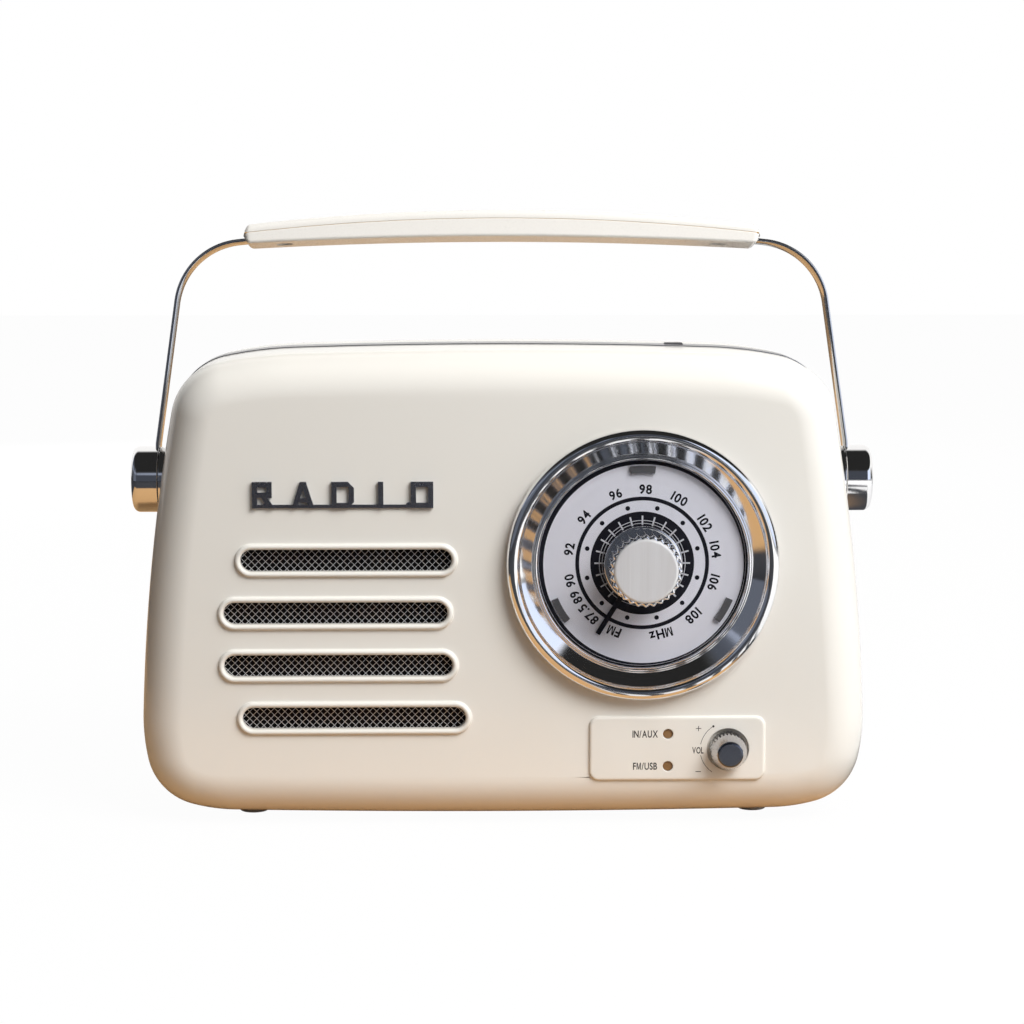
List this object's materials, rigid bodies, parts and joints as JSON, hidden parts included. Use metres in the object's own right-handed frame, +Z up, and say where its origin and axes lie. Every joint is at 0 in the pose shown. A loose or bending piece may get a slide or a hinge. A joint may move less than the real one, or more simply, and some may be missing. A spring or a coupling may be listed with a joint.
{
  "type": "tabletop radio",
  "caption": "Retro tabletop radio: cream cabinet with slotted speaker front, round tuning dial, volume knob, swinging strap handle and folding aerial.",
  "frame": {"origin": "on the floor under the rubber feet, in the middle of the whole object's box in X and Y", "axes": "+Z up, +X to the right seen from the front, the front panel faces -Y"},
  "size_m": [0.282, 0.122, 0.2277],
  "materials": {
    "cream_shell": "glossy cream moulding",
    "cream_grip": "glossy cream moulding",
    "silver_band": "satin silver",
    "chrome": "mirror chrome plate",
    "dark_chrome": "smoked chrome plate",
    "strap_steel": "nickel, ribbed along the middle",
    "aerial_chrome": "bright chrome tube",
    "brushed_cap": "turned and brushed face",
    "clear_lens": "clear moulded lens",
    "dial_white": "printed pale dial",
    "pointer_black": "satin black",
    "black_plastic": "fine grained black",
    "button_grey": "satin grey",
    "amber_lamp": "smoked amber lamp",
    "rubber": "pale matt rubber",
    "foam": "foam ring",
    "surround_rubber": "soft rolled rubber",
    "speaker_cloth": "black acoustic cloth",
    "mesh_wire": "woven wire, tinned",
    "painted_steel": "black lacquered pressing",
    "cone_paper": "pressed black paper",
    "ferrite": "bare ferrite",
    "control_steel": "tinned steel can",
    "shaft_brass": "turned brass",
    "screw_steel": "zinc plated",
    "socket_steel": "nickel plated shell",
    "spring_steel": "nickel plated spring steel",
    "board_green": "green circuit board"
  },
  "bodies": {
    "cabinet": {"front_shell": "cream_shell", "rear_shell": "cream_shell", "trim_band": "silver_band", "rubber_feet": "rubber", "case_screws": "screw_steel", "speaker_mesh": "mesh_wire", "speaker_cloth": "speaker_cloth", "speaker_gasket": "foam", "speaker_basket": "painted_steel", "speaker_surround": "surround_rubber", "speaker_cone": "cone_paper", "speaker_magnet": "ferrite", "speaker_screws": "screw_steel", "front_badge": "dark_chrome", "dial_bezel": "chrome", "dial_lens": "clear_lens", "dial_plate": "dial_white", "dial_housing": "black_plastic", "tuning_control": "control_steel", "volume_control": "control_steel", "led_aux": "amber_lamp", "led_radio": "amber_lamp", "control_board": "board_green", "board_screws": "screw_steel", "main_board": "board_green", "aux_jack": "black_plastic", "usb_socket": "socket_steel", "power_inlet": "black_plastic", "mode_switch": "black_plastic", "battery_box": "black_plastic", "battery_springs": "spring_steel", "battery_contacts": "spring_steel", "pivot_boss_left": "chrome", "pivot_boss_right": "chrome", "pivot_screw_left": "screw_steel", "pivot_screw_right": "screw_steel", "aerial_rests": "black_plastic", "aerial_socket": "black_plastic"},
    "handle": {"pivot_cap_left": "chrome", "pivot_cap_right": "chrome", "handle_strap_left": "strap_steel", "handle_strap_right": "strap_steel", "grip_base": "cream_grip", "grip_top": "cream_grip", "grip_screws": "screw_steel"},
    "tuning": {"tuning_shaft": "shaft_brass", "dial_pointer": "pointer_black", "tuning_knob": "chrome", "tuning_knob_cap": "brushed_cap"},
    "volume": {"volume_shaft": "shaft_brass", "volume_knob": "chrome", "volume_knob_cap": "dark_chrome"},
    "mode_key": {"mode_button": "button_grey"},
    "door": {"battery_door": "cream_shell"},
    "aerial_turret": {"aerial_swivel": "aerial_chrome"},
    "aerial_rod": {"aerial_outer_tube": "aerial_chrome"},
    "aerial_middle": {"aerial_middle_tube": "aerial_chrome"},
    "aerial_end": {"aerial_tip": "aerial_chrome"}
  },
  "joints": [
    {"name": "handle_swing", "type": "hinge", "parent": "cabinet", "child": "handle", "pos_m": [0, 0.005, 0.1254], "axis": [1, 0, 0], "range_deg": [-67, 83]},
    {"name": "tuning_turn", "type": "hinge", "parent": "cabinet", "child": "tuning", "pos_m": [0.0506, -0.041, 0.0988], "axis": [0, 1, 0], "range_deg": [0, 285]},
    {"name": "volume_turn", "type": "hinge", "parent": "cabinet", "child": "volume", "pos_m": [0.0825, -0.041, 0.0296], "axis": [0, 1, 0], "range_deg": [0, 280]},
    {"name": "mode_press", "type": "slide", "parent": "cabinet", "child": "mode_key", "axis": [0, 0, -1], "range_m": [0, 0.0006], "stiffness_N_per_m": 800},
    {"name": "door_swing", "type": "hinge", "parent": "cabinet", "child": "door", "pos_m": [0, 0.0494, 0.0216], "axis": [-1, 0, 0], "range_deg": [0, 90]},
    {"name": "aerial_turn", "type": "hinge", "parent": "cabinet", "child": "aerial_turret", "pos_m": [-0.099, -0.041, 0.156], "axis": [0, -1, 0], "range_deg": [0, 180]},
    {"name": "aerial_tilt", "type": "hinge", "parent": "aerial_turret", "child": "aerial_rod", "pos_m": [-0.099, 0.056, 0.156], "axis": [0, 0, 1], "range_deg": [0, 90]},
    {"name": "aerial_extend_middle", "type": "slide", "parent": "aerial_rod", "child": "aerial_middle", "axis": [1, 0, 0], "range_m": [0, 0.145]},
    {"name": "aerial_extend_tip", "type": "slide", "parent": "aerial_middle", "child": "aerial_end", "axis": [1, 0, 0], "range_m": [0, 0.14]}
  ]
}
